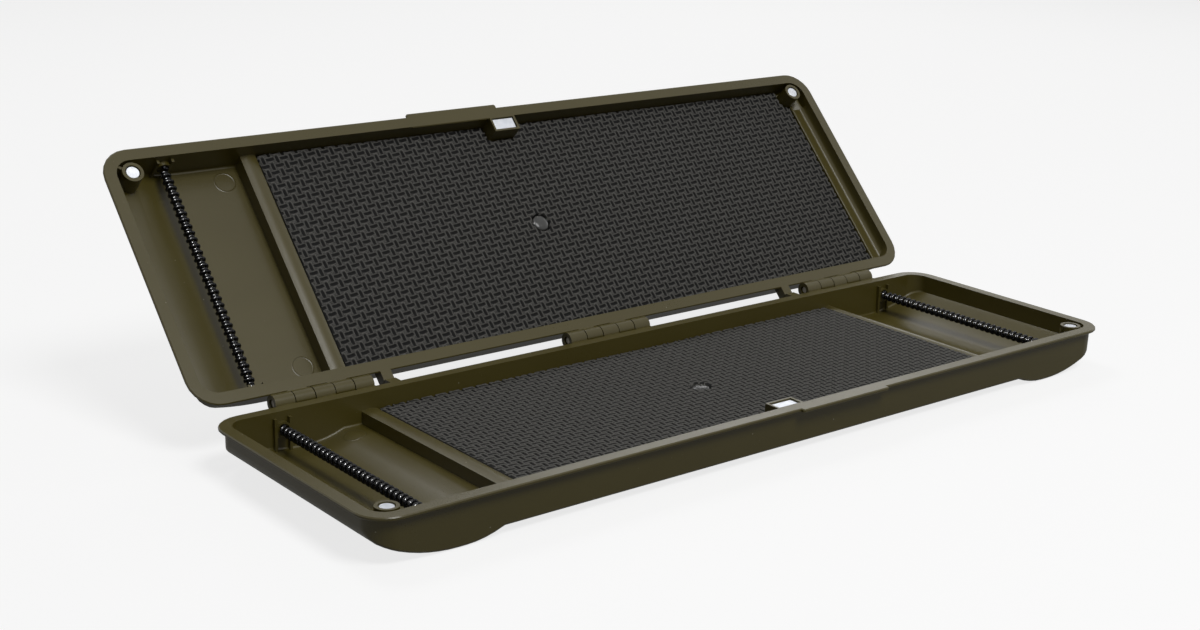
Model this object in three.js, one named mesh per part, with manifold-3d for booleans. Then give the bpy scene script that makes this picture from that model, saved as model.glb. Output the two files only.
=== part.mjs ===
// Fishing rig box: a shallow two-half case that lies open on its hinge stops.
// Units are millimetres. X runs along the case, +Y points to the hinges and +Z is up.
// The case stands on z = 0 and both halves are modelled rim up, then the lid is turned over.
import * as THREE from 'three';
import { mergeVertices } from 'three/addons/utils/BufferGeometryUtils.js';
import Module from 'manifold-3d';

const wasm = await Module();
wasm.setup();

// Case outline, the same for both halves
const CASE_LENGTH = 350;
const CASE_WIDTH = 104.5;
const RIM_CORNER_RADIUS = 11;
const RIM_BAND = 4.7;
const FLANGE_THICKNESS = 1.3;
const FLANGE_ROUND = 0.35;
const OPEN_ANGLE = THREE.MathUtils.degToRad(133.8);

// Depths below the rim. The base swells at each end into a foot, the lid stays flat.
const BASE_MID_DEPTH = 14;
const BASE_FOOT_DEPTH = 17;
const BASE_FLOOR = 2.6;
const BASE_OVERHANG = 2.2;
const LID_DEPTH = 13.8;
const LID_FLOOR = 1.3;
const LID_OVERHANG = 2.9;
const END_ARC_LENGTH = 27.8;
const END_ARC_RADIUS = 58;
const FOOT_LAND = 3;
const FOOT_DIP_LENGTH = 14.5;
const END_ROUND = 3;
const EDGE_ROUND = 1;
const WALL_DRAFT_SHARE = 0.026;

// Fits and cuts
const SEAT_GAP = 0.3;
const PARTING_GAP = 0.3;
const BITE = 0.8;
const OVERRUN = 5;

// Bays, dividers and ledge
const BAY_LENGTH = 52.8;
const DIVIDER_TOP = 6.1;
const LEFT_DIVIDER_WIDTH = 6.4;
const RIGHT_DIVIDER_WIDTH = 3.5;
const DIVIDER_CROWN = 0.6;
const LEDGE_WIDTH = 6;
const LEDGE_TOP = 5.8;
const LEDGE_ROUND = 0.6;
const LEDGE_COVE = 2.4;
const LEDGE_COVE_TOP = 2;
const LEDGE_FRONT_GAP = 11.5;

// Foam mats and the studs that pin them
const FOAM_TOP = 6.3;
const FOAM_CORNER = 1.5;
const FOAM_EDGE_GAP = 0.5;
const STUD_RADIUS = 3.3;
const STUD_DOME = 1;
const STUD_SINK = 0.5;

// Springs across the bays
const COIL_OUTER_RADIUS = 2.05;
const WIRE_RADIUS = 0.7;
const COIL_CURLS = 33;
const SPRING_DEPTH = 6.5;
const SPRING_INSET = 21;
const SPRING_RIB_THICKNESS = 1;
const SPRING_RIB_REACH = 1.6;
const SPRING_RIB_TOP = 2.2;
const SOCKET_WALL = 0.7;
const SOCKET_FLOOR = 0.5;

// Magnets and what carries them
const DISC_MAGNET_RADIUS = 2.5;
const DISC_MAGNET_THICKNESS = 2;
const DISC_MAGNET_SINK = 0.3;
const BOSS_RADIUS = 4;
const BOSS_END_INSET = 6.3;
const BOSS_FRONT_INSET = 5;
const BOSS_WEB_THICKNESS = 1.1;
const BOSS_WEB_TOP = 1;
const WEB_STEP = 0.2;
const BAR_MAGNET_LENGTH = 10;
const BAR_MAGNET_WIDTH = 4.8;
const BAR_MAGNET_THICKNESS = 3;
const BAR_MAGNET_SINK = 0.5;
const BLOCK_END_WALL = 0.9;
const BLOCK_BACK_WALL = 0.8;

// Hinges and stops
const HINGE_LENGTH = 40;
const HINGE_END_GAP = 26.4;
const KNUCKLES = 5;
const KNUCKLE_RADIUS = 3.2;
const KNUCKLE_GAP = 0.35;
const KNUCKLE_FLANGE_GAP = 0.4;
const AXIS_DROP = 0.15;
const PIN_RADIUS = 1.4;
const PIN_END_SINK = 0.8;
const STOP_WIDTH = 4.4;
const STOP_HEIGHT = 4.2;
const STOP_HINGE_GAP = 6;

// Finger tabs
const TAB_LENGTH = 43.5;
const TAB_REACH = 1.6;
const TAB_CENTRE_GAP = 0.5;
const TAB_CORNER = 0.6;

// Counts of steps on round shapes
const CORNER_STEPS = 6;
const EDGE_STEPS = 3;
const CROWN_STEPS = 6;
const CHAMFER_STEPS = 1;
const ARC_STEPS = 6;
const DIP_STEPS = 4;
const KNUCKLE_SIDES = 20;
const BOSS_SIDES = 20;
const SMALL_SIDES = 12;
const COIL_STEPS = 8;
const WIRE_SIDES = 5;

// Places worked out from the sizes above
const flangeHalfLength = CASE_LENGTH / 2;
const flangeHalfWidth = CASE_WIDTH / 2;
const innerHalfLength = flangeHalfLength - RIM_BAND;
const innerHalfWidth = flangeHalfWidth - RIM_BAND;
const innerCorner = RIM_CORNER_RADIUS - RIM_BAND;
const landOuterX = innerHalfLength - END_ARC_LENGTH;
const landInnerX = landOuterX - FOOT_LAND;
const creaseX = landInnerX - FOOT_DIP_LENGTH;
const bayEndX = innerHalfLength - BAY_LENGTH;
const springX = innerHalfLength - SPRING_INSET;
const bossX = innerHalfLength - BOSS_END_INSET;
const bossY = BOSS_FRONT_INSET - innerHalfWidth;
const barY = BLOCK_BACK_WALL / 2 + SEAT_GAP + BAR_MAGNET_WIDTH / 2 - innerHalfWidth;
const blockBackY = barY + BAR_MAGNET_WIDTH / 2 + SEAT_GAP + BLOCK_BACK_WALL;
const blockHalfLength = BAR_MAGNET_LENGTH / 2 + SEAT_GAP + BLOCK_END_WALL;
const hingeY = flangeHalfWidth + KNUCKLE_FLANGE_GAP + KNUCKLE_RADIUS;
const hingeX = flangeHalfLength - HINGE_END_GAP - HINGE_LENGTH / 2;
const stopX = hingeX - HINGE_LENGTH / 2 - STOP_HINGE_GAP - STOP_WIDTH / 2;
const boreRadius = PIN_RADIUS + SEAT_GAP;
const socketRadius = COIL_OUTER_RADIUS + SEAT_GAP;
const rimZ = BASE_FOOT_DEPTH;

const plastic = new THREE.MeshStandardMaterial({ color: 0x5b5339, roughness: 0.5, metalness: 0 });
const foam = new THREE.MeshStandardMaterial({ color: 0x474545, roughness: 0.95, metalness: 0 });
const springSteel = new THREE.MeshStandardMaterial({ color: 0x101012, roughness: 0.25, metalness: 0.6 });
const nickel = new THREE.MeshStandardMaterial({ color: 0xd2d6dc, roughness: 0.35, metalness: 0.8 });
const pinSteel = new THREE.MeshStandardMaterial({ color: 0xa8a294, roughness: 0.35, metalness: 0.9 });
const studPlastic = new THREE.MeshStandardMaterial({ color: 0x3c3c3a, roughness: 0.4, metalness: 0 });

// Mesh booleans

function toManifold(geometry) {
  const bare = geometry.clone();
  bare.deleteAttribute('normal');
  bare.deleteAttribute('uv');
  const merged = mergeVertices(bare);
  return new wasm.Manifold(new wasm.Mesh({
    numProp: 3,
    vertProperties: new Float32Array(merged.attributes.position.array),
    triVerts: new Uint32Array(merged.index.array),
  }));
}

function toGeometry(manifold) {
  const mesh = manifold.getMesh();
  const indexed = new THREE.BufferGeometry();
  indexed.setAttribute('position', new THREE.BufferAttribute(new Float32Array(mesh.vertProperties), 3));
  indexed.setIndex(new THREE.BufferAttribute(new Uint32Array(mesh.triVerts), 1));
  const flat = indexed.toNonIndexed();
  flat.computeVertexNormals();
  return flat;
}

function join(solids) {
  return solids.map(toManifold).reduce((sum, solid) => sum.add(solid));
}

function carve(body, cuts) {
  return cuts.map(toManifold).reduce((left, cut) => left.subtract(cut), body);
}

// Basic closed solids

function boxBetween(low, high) {
  const size = high.clone().sub(low);
  const box = new THREE.BoxGeometry(size.x, size.y, size.z);
  const middle = low.clone().add(high).multiplyScalar(0.5);
  return box.translate(middle.x, middle.y, middle.z);
}

function upright(radius, low, high, x, y, sides) {
  const post = new THREE.CylinderGeometry(radius, radius, high - low, sides);
  return post.rotateX(Math.PI / 2).translate(x, y, (low + high) / 2);
}

function alongX(radius, left, right, y, z, sides) {
  const rod = new THREE.CylinderGeometry(radius, radius, right - left, sides);
  return rod.rotateZ(Math.PI / 2).translate((left + right) / 2, y, z);
}

function alongY(radius, front, back, x, z, sides) {
  const rod = new THREE.CylinderGeometry(radius, radius, back - front, sides);
  return rod.translate(x, (front + back) / 2, z);
}

// A side profile drawn in (y, z) and pulled along X
function prismAlongX(shape, left, right) {
  const prism = new THREE.ExtrudeGeometry(shape, { depth: right - left, bevelEnabled: false });
  const turn = new THREE.Matrix4().makeBasis(
    new THREE.Vector3(0, 1, 0),
    new THREE.Vector3(0, 0, 1),
    new THREE.Vector3(1, 0, 0),
  );
  return prism.applyMatrix4(turn).translate(left, 0, 0);
}

// A front profile drawn in (x, z) and pulled along Y
function prismAlongY(shape, front, back) {
  const settings = { depth: back - front, bevelEnabled: false, curveSegments: CROWN_STEPS };
  const prism = new THREE.ExtrudeGeometry(shape, settings);
  const turn = new THREE.Matrix4().makeBasis(
    new THREE.Vector3(1, 0, 0),
    new THREE.Vector3(0, 0, 1),
    new THREE.Vector3(0, -1, 0),
  );
  return prism.applyMatrix4(turn).translate(0, back, 0);
}

function prismUp(shape, low, high) {
  const prism = new THREE.ExtrudeGeometry(shape, { depth: high - low, bevelEnabled: false });
  return prism.translate(0, 0, low);
}

function polygon(points) {
  return new THREE.Shape(points.map(([u, v]) => new THREE.Vector2(u, v)));
}

function roundedRectangle(left, right, front, back, radius, steps) {
  const centres = [
    [right - radius, back - radius],
    [left + radius, back - radius],
    [left + radius, front + radius],
    [right - radius, front + radius],
  ];
  return polygon(centres.flatMap(([x, y], corner) => {
    const arc = [];
    for (let step = 0; step <= steps; step += 1) {
      const angle = (corner + step / steps) * (Math.PI / 2);
      arc.push([x + radius * Math.cos(angle), y + radius * Math.sin(angle)]);
    }
    return arc;
  }));
}

// Skin a row of rings that all have the same number of points, and cap both ends
function loft(rings) {
  const sides = rings[0].length;
  const corners = rings.flat().flatMap((point) => [point.x, point.y, point.z]);
  const faces = [];
  for (let ring = 0; ring + 1 < rings.length; ring += 1) {
    for (let side = 0; side < sides; side += 1) {
      const here = ring * sides + side;
      const next = ring * sides + (side + 1) % sides;
      faces.push(here, next, next + sides);
      faces.push(here, next + sides, here + sides);
    }
  }
  const last = (rings.length - 1) * sides;
  for (let side = 1; side + 1 < sides; side += 1) {
    faces.push(0, side + 1, side);
    faces.push(last, last + side, last + side + 1);
  }
  const geometry = new THREE.BufferGeometry();
  geometry.setAttribute('position', new THREE.Float32BufferAttribute(corners, 3));
  geometry.setIndex(faces);
  geometry.computeVertexNormals();
  return geometry;
}

// Tray bodies

// How deep the outside of a half is at x, with its foot, its end arc and its rounded end
function outerDepth(x, half) {
  const reach = Math.abs(x);
  if (reach <= creaseX) {
    return half.midDepth;
  }
  if (reach < landInnerX) {
    const left = (landInnerX - reach) / FOOT_DIP_LENGTH;
    return half.footDepth - (half.footDepth - half.midDepth) * left * left;
  }
  const run = Math.max(reach - landOuterX, 0);
  const rise = END_ARC_RADIUS - Math.sqrt(END_ARC_RADIUS ** 2 - run ** 2);
  const turn = Math.max(reach - (flangeHalfLength - half.overhang) + END_ROUND, 0);
  const round = END_ROUND - Math.sqrt(END_ROUND ** 2 - turn ** 2);
  return half.footDepth - rise - round;
}

function floorDepth(x, half) {
  return outerDepth(x, half) - half.floor;
}

// The stations along X where a tray's cross-section changes
function trayStations(halfLength, corner) {
  const reaches = [];
  for (let step = 0; step <= CORNER_STEPS; step += 1) {
    const angle = (step / CORNER_STEPS) * (Math.PI / 2);
    reaches.push(halfLength - corner + corner * Math.cos(angle));
  }
  const arcEnd = halfLength - corner;
  for (let step = 0; step < ARC_STEPS; step += 1) {
    reaches.push(landOuterX + (arcEnd - landOuterX) * (step / ARC_STEPS));
  }
  for (let step = 0; step <= DIP_STEPS; step += 1) {
    reaches.push(creaseX + FOOT_DIP_LENGTH * (step / DIP_STEPS));
  }
  reaches.sort((a, b) => a - b);
  return [...reaches.map((reach) => -reach).reverse(), ...reaches];
}

// A drafted tray with rounded plan corners and rounded lower edges, open side up at top
function trayBody(halfLength, halfWidth, corner, depthAt, top, edge) {
  const rings = trayStations(halfLength, corner).map((x) => {
    const intoCorner = Math.max(Math.abs(x) - (halfLength - corner), 0);
    const lost = corner - Math.sqrt(Math.max(corner ** 2 - intoCorner ** 2, 0));
    const width = halfWidth - lost;
    const depth = depthAt(x);
    const foot = width - (depth - edge) * WALL_DRAFT_SHARE;
    const ring = [new THREE.Vector3(x, width + top * WALL_DRAFT_SHARE, top)];
    for (let step = 0; step <= EDGE_STEPS; step += 1) {
      const angle = (step / EDGE_STEPS) * (Math.PI / 2);
      const y = foot - edge + edge * Math.cos(angle);
      ring.push(new THREE.Vector3(x, y, edge - depth - edge * Math.sin(angle)));
    }
    const mirrored = ring.map((point) => new THREE.Vector3(x, -point.y, point.z)).reverse();
    return [...ring, ...mirrored];
  });
  return loft(rings.reverse());
}

function outerBody(half) {
  return trayBody(
    flangeHalfLength - half.overhang,
    flangeHalfWidth - half.overhang,
    RIM_CORNER_RADIUS - half.overhang,
    (x) => outerDepth(x, half),
    -FLANGE_THICKNESS / 2,
    EDGE_ROUND,
  );
}

// The hollow of a half, drawn in by a clearance where something has to fit it; a negative one
// grows it into the walls
function cavity(half, clearance, top) {
  return trayBody(
    innerHalfLength - clearance,
    innerHalfWidth - clearance,
    innerCorner - clearance,
    (x) => floorDepth(x, half) - clearance,
    top,
    EDGE_ROUND - clearance,
  );
}

// A flat plate with its outer edges eased, its top on the rim plane
function plate(outline) {
  const settings = {
    depth: FLANGE_THICKNESS - 2 * FLANGE_ROUND,
    bevelThickness: FLANGE_ROUND,
    bevelSize: FLANGE_ROUND,
    bevelOffset: -FLANGE_ROUND,
    bevelSegments: CHAMFER_STEPS,
  };
  return new THREE.ExtrudeGeometry(outline, settings).translate(0, 0, FLANGE_ROUND - FLANGE_THICKNESS);
}

function flange() {
  const outline = roundedRectangle(
    -flangeHalfLength, flangeHalfLength, -flangeHalfWidth, flangeHalfWidth,
    RIM_CORNER_RADIUS, CORNER_STEPS,
  );
  return plate(outline);
}

// Moulded features inside a half, rim up: they run past its walls and floor, and are trimmed there

// A wall across the tray with a crowned top
function divider(half, left, right) {
  const shoulder = -DIVIDER_TOP - DIVIDER_CROWN;
  const shape = new THREE.Shape();
  shape.moveTo(left, -half.footDepth);
  shape.lineTo(left, shoulder);
  shape.quadraticCurveTo((left + right) / 2, DIVIDER_CROWN - DIVIDER_TOP, right, shoulder);
  shape.lineTo(right, -half.footDepth);
  return prismAlongY(shape, -flangeHalfWidth, flangeHalfWidth);
}

// The ledge along the lid's right end, coved up into the end wall
function endLedge(half) {
  const foamFace = innerHalfLength - LEDGE_WIDTH;
  const coveX = innerHalfLength - LEDGE_COVE;
  const shape = new THREE.Shape();
  shape.moveTo(foamFace, -half.footDepth);
  shape.lineTo(foamFace, -LEDGE_TOP - LEDGE_ROUND);
  shape.quadraticCurveTo(foamFace, -LEDGE_TOP, foamFace + LEDGE_ROUND, -LEDGE_TOP);
  shape.lineTo(coveX, -LEDGE_TOP);
  shape.quadraticCurveTo(innerHalfLength, -LEDGE_TOP, innerHalfLength, -LEDGE_COVE_TOP);
  shape.lineTo(flangeHalfLength, -LEDGE_COVE_TOP);
  shape.lineTo(flangeHalfLength, -half.footDepth);
  return prismAlongY(shape, LEDGE_FRONT_GAP - innerHalfWidth, flangeHalfWidth);
}

// Two ribs and a round socket between them at each end of a spring
function springHolders(half, x) {
  const offset = socketRadius + SPRING_RIB_THICKNESS / 2;
  const pieces = [];
  for (const end of [-1, 1]) {
    const wall = end * flangeHalfWidth;
    const face = end * (innerHalfWidth - SPRING_RIB_REACH);
    const [front, back] = [Math.min(wall, face), Math.max(wall, face)];
    for (const side of [-1, 1]) {
      const ribX = x + side * offset;
      pieces.push(boxBetween(
        new THREE.Vector3(ribX - SPRING_RIB_THICKNESS / 2, front, -half.footDepth),
        new THREE.Vector3(ribX + SPRING_RIB_THICKNESS / 2, back, -SPRING_RIB_TOP),
      ));
    }
    pieces.push(alongY(socketRadius + SOCKET_WALL, front, back, x, -SPRING_DEPTH, BOSS_SIDES));
  }
  return pieces;
}

// The bore from one socket's floor to the other's
function socketBores(half) {
  const reach = innerHalfWidth - SOCKET_FLOOR;
  return half.springSides.map((side) => (
    alongY(socketRadius, -reach, reach, side * springX, -SPRING_DEPTH, BOSS_SIDES)
  ));
}

// A round magnet post in a front corner, with a web to the corner of the wall
function magnetBoss(half, side) {
  const x = side * bossX;
  const web = boxBetween(
    new THREE.Vector3(0, -BOSS_WEB_THICKNESS / 2, -half.footDepth),
    new THREE.Vector3(BOSS_END_INSET + RIM_BAND, BOSS_WEB_THICKNESS / 2, -BOSS_WEB_TOP),
  );
  web.rotateZ(Math.atan2(-BOSS_FRONT_INSET, side * BOSS_END_INSET));
  web.translate(x, bossY, 0);
  return [upright(BOSS_RADIUS, -half.footDepth, OVERRUN, x, bossY, BOSS_SIDES), web];
}

// The thin wall that ties the lid's right boss to the front end of the ledge
function ledgeWeb(half) {
  const left = innerHalfLength - LEDGE_WIDTH + WEB_STEP;
  return boxBetween(
    new THREE.Vector3(left, bossY, -half.footDepth),
    new THREE.Vector3(left + BOSS_WEB_THICKNESS, bossY + LEDGE_FRONT_GAP, -LEDGE_TOP - LEDGE_ROUND),
  );
}

function bossPocket(side) {
  const depth = DISC_MAGNET_SINK + DISC_MAGNET_THICKNESS + SEAT_GAP;
  return upright(DISC_MAGNET_RADIUS + SEAT_GAP, -depth, OVERRUN, side * bossX, bossY, BOSS_SIDES);
}

function magnetBlock(half) {
  return boxBetween(
    new THREE.Vector3(-blockHalfLength, -flangeHalfWidth, -half.footDepth),
    new THREE.Vector3(blockHalfLength, blockBackY, OVERRUN),
  );
}

function blockPocket() {
  const halfLength = BAR_MAGNET_LENGTH / 2 + SEAT_GAP;
  const halfWidth = BAR_MAGNET_WIDTH / 2 + SEAT_GAP;
  const depth = BAR_MAGNET_SINK + BAR_MAGNET_THICKNESS + SEAT_GAP;
  return boxBetween(
    new THREE.Vector3(-halfLength, barY - halfWidth, -depth),
    new THREE.Vector3(halfLength, barY + halfWidth, OVERRUN),
  );
}

// The lift for a fingertip on the front flange; side says which way it runs from the middle
function fingerTab(side) {
  const near = side * TAB_CENTRE_GAP;
  const far = side * (TAB_CENTRE_GAP + TAB_LENGTH);
  const outline = roundedRectangle(
    Math.min(near, far), Math.max(near, far),
    -flangeHalfWidth - TAB_REACH, OVERRUN - flangeHalfWidth, TAB_CORNER, CHAMFER_STEPS,
  );
  return plate(outline);
}

// The knuckles of one half, every other one along each hinge
function knuckles(half) {
  const pitch = HINGE_LENGTH / KNUCKLES;
  const rootY = flangeHalfWidth - BITE;
  const pieces = [];
  for (const centre of [-hingeX, 0, hingeX]) {
    for (let index = half.firstKnuckle; index < KNUCKLES; index += 2) {
      const left = centre - HINGE_LENGTH / 2 + index * pitch + KNUCKLE_GAP / 2;
      const right = left + pitch - KNUCKLE_GAP;
      const arm = polygon([
        [rootY, 0],
        [rootY, -FLANGE_THICKNESS],
        [flangeHalfWidth, -FLANGE_THICKNESS],
        [hingeY, half.axisRise - KNUCKLE_RADIUS],
        [hingeY, 0],
      ]);
      pieces.push(alongX(KNUCKLE_RADIUS, left, right, hingeY, half.axisRise, KNUCKLE_SIDES));
      pieces.push(prismAlongX(arm, left, right));
    }
  }
  return pieces;
}

function hingeBores(half) {
  return [-hingeX, 0, hingeX].map((centre) => {
    const reach = HINGE_LENGTH / 2 + OVERRUN;
    return alongX(boreRadius, centre - reach, centre + reach, hingeY, half.axisRise, SMALL_SIDES);
  });
}

// Stop lugs: their slanted faces lie on a plane through the hinge axis, so they meet at OPEN_ANGLE
function stopLugs(half) {
  const slope = OPEN_ANGLE / 2;
  const back = SEAT_GAP / 2 / Math.sin(slope);
  const rootY = flangeHalfWidth - half.overhang - BITE;
  const drop = STOP_HEIGHT + half.axisRise;
  const lug = polygon([
    [rootY, 0],
    [rootY, -STOP_HEIGHT],
    [hingeY - back + drop / Math.tan(slope), -STOP_HEIGHT],
    [hingeY - back + half.axisRise / Math.tan(slope), 0],
  ]);
  return [-stopX, stopX].map((x) => prismAlongX(lug, x - STOP_WIDTH / 2, x + STOP_WIDTH / 2));
}

function mouldHalf(half) {
  const skin = toManifold(outerBody(half)).add(toManifold(flange()));
  const tray = skin.subtract(toManifold(cavity(half, 0, OVERRUN)));
  const fittings = join([
    ...half.springSides.flatMap((side) => springHolders(half, side * springX)),
    ...magnetBoss(half, -1),
    ...magnetBoss(half, 1),
    magnetBlock(half),
    ...half.walls,
  ]).intersect(toManifold(cavity(half, -BITE, 0)));
  const fixings = join([fingerTab(half.tabSide), ...knuckles(half), ...stopLugs(half)]);
  return carve(tray.add(fittings).add(fixings), [
    bossPocket(-1),
    bossPocket(1),
    blockPocket(),
    ...socketBores(half),
    ...hingeBores(half),
  ]);
}

// Loose pieces, rim up like the half that holds them

// A mat cut to its tray, with notches for the posts that stand in it
function foamMat(half, left, right, notches) {
  const outline = roundedRectangle(
    left, right, SEAT_GAP - innerHalfWidth, innerHalfWidth - SEAT_GAP, FOAM_CORNER, EDGE_STEPS,
  );
  const slab = toManifold(prismUp(outline, -half.footDepth, -FOAM_TOP));
  const fitted = slab.intersect(toManifold(cavity(half, SEAT_GAP, 0)));
  const hole = upright(STUD_RADIUS + SEAT_GAP, -half.footDepth, OVERRUN, 0, 0, BOSS_SIDES);
  return toGeometry(carve(fitted, [hole, ...notches]));
}

function blockNotch(half) {
  const gap = FOAM_EDGE_GAP;
  const back = blockBackY + gap;
  const outline = roundedRectangle(
    -blockHalfLength - gap, blockHalfLength + gap, -flangeHalfWidth, back, FOAM_CORNER, EDGE_STEPS,
  );
  return prismUp(outline, -half.footDepth, OVERRUN);
}

// The mat's corner is cut away round the boss and the web behind it
function bossNotch(half) {
  const radius = BOSS_RADIUS + FOAM_EDGE_GAP;
  const outline = roundedRectangle(
    bossX - radius, flangeHalfLength, -flangeHalfWidth, bossY + radius, radius, CORNER_STEPS,
  );
  return prismUp(outline, -half.footDepth, OVERRUN);
}

function foamStud(half) {
  const bottom = -floorDepth(0, half) + SEAT_GAP;
  const crown = -FOAM_TOP - STUD_SINK;
  const shoulder = crown - STUD_DOME;
  const outline = [new THREE.Vector2(0, bottom), new THREE.Vector2(STUD_RADIUS, bottom)];
  for (let step = 0; step <= EDGE_STEPS; step += 1) {
    const angle = (step / (EDGE_STEPS + 1)) * (Math.PI / 2);
    const out = STUD_RADIUS * Math.cos(angle);
    outline.push(new THREE.Vector2(out, shoulder + STUD_DOME * Math.sin(angle)));
  }
  outline.push(new THREE.Vector2(0, crown));
  return new THREE.LatheGeometry(outline, BOSS_SIDES).rotateX(Math.PI / 2);
}

function discMagnet(side) {
  const top = -DISC_MAGNET_SINK;
  return upright(DISC_MAGNET_RADIUS, top - DISC_MAGNET_THICKNESS, top, side * bossX, bossY, BOSS_SIDES);
}

function barMagnet() {
  const top = -BAR_MAGNET_SINK;
  return boxBetween(
    new THREE.Vector3(-BAR_MAGNET_LENGTH / 2, barY - BAR_MAGNET_WIDTH / 2, top - BAR_MAGNET_THICKNESS),
    new THREE.Vector3(BAR_MAGNET_LENGTH / 2, barY + BAR_MAGNET_WIDTH / 2, top),
  );
}

// The wire's centre line: straight for one wire diameter in each socket, curled between
function coilPath(x) {
  const reach = innerHalfWidth - SOCKET_FLOOR - SEAT_GAP;
  const wire = 2 * WIRE_RADIUS;
  const radius = COIL_OUTER_RADIUS - WIRE_RADIUS;
  const start = wire - reach;
  const run = 2 * (reach - wire);
  const steps = COIL_CURLS * COIL_STEPS;
  const place = (angle, y) => new THREE.Vector3(
    x + radius * Math.sin(angle), y, -SPRING_DEPTH + radius * Math.cos(angle),
  );
  const path = [place(0, -reach)];
  for (let step = 0; step <= steps; step += 1) {
    path.push(place((step / COIL_STEPS) * 2 * Math.PI, start + run * (step / steps)));
  }
  path.push(place(0, reach));
  return path;
}

// One unbroken tube along a path, its rings carried forward without twist
function wireTube(path) {
  const rings = [];
  let across = null;
  path.forEach((point, index) => {
    const before = path[Math.max(index - 1, 0)];
    const after = path[Math.min(index + 1, path.length - 1)];
    const along = after.clone().sub(before).normalize();
    const seed = across ?? new THREE.Vector3(1, 0, 0);
    across = seed.clone().addScaledVector(along, -seed.dot(along)).normalize();
    const up = along.clone().cross(across);
    const ring = [];
    for (let side = 0; side < WIRE_SIDES; side += 1) {
      const angle = (side / WIRE_SIDES) * 2 * Math.PI;
      const offset = across.clone().multiplyScalar(Math.cos(angle) * WIRE_RADIUS);
      offset.addScaledVector(up, Math.sin(angle) * WIRE_RADIUS);
      ring.push(point.clone().add(offset));
    }
    rings.push(ring);
  });
  return loft(rings);
}

// The least gap between one turn of a coil and the next, measured on the path's points
function leastCoilGap(path) {
  let least = Infinity;
  for (let a = 0; a < path.length; a += 1) {
    for (let b = a + COIL_STEPS - 2; b < path.length; b += 1) {
      least = Math.min(least, path[a].distanceTo(path[b]));
    }
  }
  return least - 2 * WIRE_RADIUS;
}

function spring(side) {
  const path = coilPath(side * springX);
  console.log(`least gap between the turns of a spring: ${leastCoilGap(path).toFixed(2)} mm`);
  return wireTube(path);
}

// The pin stands still with the base, its ends sunk in the outer knuckles
function hingePin(centre) {
  const reach = HINGE_LENGTH / 2 - PIN_END_SINK;
  return alongX(PIN_RADIUS, centre - reach, centre + reach, hingeY, -AXIS_DROP, SMALL_SIDES);
}

// The two halves

const baseHalf = {
  midDepth: BASE_MID_DEPTH,
  footDepth: BASE_FOOT_DEPTH,
  floor: BASE_FLOOR,
  overhang: BASE_OVERHANG,
  springSides: [-1, 1],
  tabSide: 1,
  firstKnuckle: 0,
  axisRise: -AXIS_DROP,
};
baseHalf.walls = [
  divider(baseHalf, -bayEndX, LEFT_DIVIDER_WIDTH - bayEndX),
  divider(baseHalf, bayEndX - RIGHT_DIVIDER_WIDTH, bayEndX),
];

const lidHalf = {
  midDepth: LID_DEPTH,
  footDepth: LID_DEPTH,
  floor: LID_FLOOR,
  overhang: LID_OVERHANG,
  springSides: [-1],
  tabSide: -1,
  firstKnuckle: 1,
  axisRise: AXIS_DROP + PARTING_GAP,
};
lidHalf.walls = [
  divider(lidHalf, -bayEndX, LEFT_DIVIDER_WIDTH - bayEndX),
  endLedge(lidHalf),
  ledgeWeb(lidHalf),
];

const matLeft = LEFT_DIVIDER_WIDTH - bayEndX + FOAM_EDGE_GAP;
const baseMatRight = bayEndX - RIGHT_DIVIDER_WIDTH - FOAM_EDGE_GAP;
const lidMatRight = innerHalfLength - LEDGE_WIDTH - FOAM_EDGE_GAP;

const base = new THREE.Group();
base.position.set(0, 0, rimZ);

const lid = new THREE.Group();
lid.position.set(0, hingeY, rimZ - AXIS_DROP);
lid.rotation.x = -OPEN_ANGLE;

function addPiece(group, name, geometry, material) {
  const mesh = new THREE.Mesh(geometry, material);
  mesh.name = name;
  group.add(mesh);
}

// Turn a rim-up solid over, so that it hangs rim down from the hinge axis
function turnedOver(geometry) {
  const flipped = (geometry.index ? geometry.toNonIndexed() : geometry.clone());
  flipped.scale(1, 1, -1);
  const spots = flipped.attributes.position;
  const corner = new THREE.Vector3();
  const other = new THREE.Vector3();
  for (let index = 0; index < spots.count; index += 3) {
    corner.fromBufferAttribute(spots, index + 1);
    other.fromBufferAttribute(spots, index + 2);
    spots.setXYZ(index + 1, other.x, other.y, other.z);
    spots.setXYZ(index + 2, corner.x, corner.y, corner.z);
  }
  flipped.translate(0, -hingeY, lidHalf.axisRise);
  flipped.computeVertexNormals();
  return flipped;
}

addPiece(base, 'base_shell', toGeometry(mouldHalf(baseHalf)), plastic);
addPiece(base, 'base_foam_mat', foamMat(baseHalf, matLeft, baseMatRight, [blockNotch(baseHalf)]), foam);
addPiece(base, 'base_foam_stud', foamStud(baseHalf), studPlastic);
addPiece(base, 'base_left_spring', spring(-1), springSteel);
addPiece(base, 'base_right_spring', spring(1), springSteel);
addPiece(base, 'base_left_corner_magnet', discMagnet(-1), nickel);
addPiece(base, 'base_right_corner_magnet', discMagnet(1), nickel);
addPiece(base, 'base_catch_magnet', barMagnet(), nickel);
addPiece(base, 'left_hinge_pin', hingePin(-hingeX), pinSteel);
addPiece(base, 'middle_hinge_pin', hingePin(0), pinSteel);
addPiece(base, 'right_hinge_pin', hingePin(hingeX), pinSteel);

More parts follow.
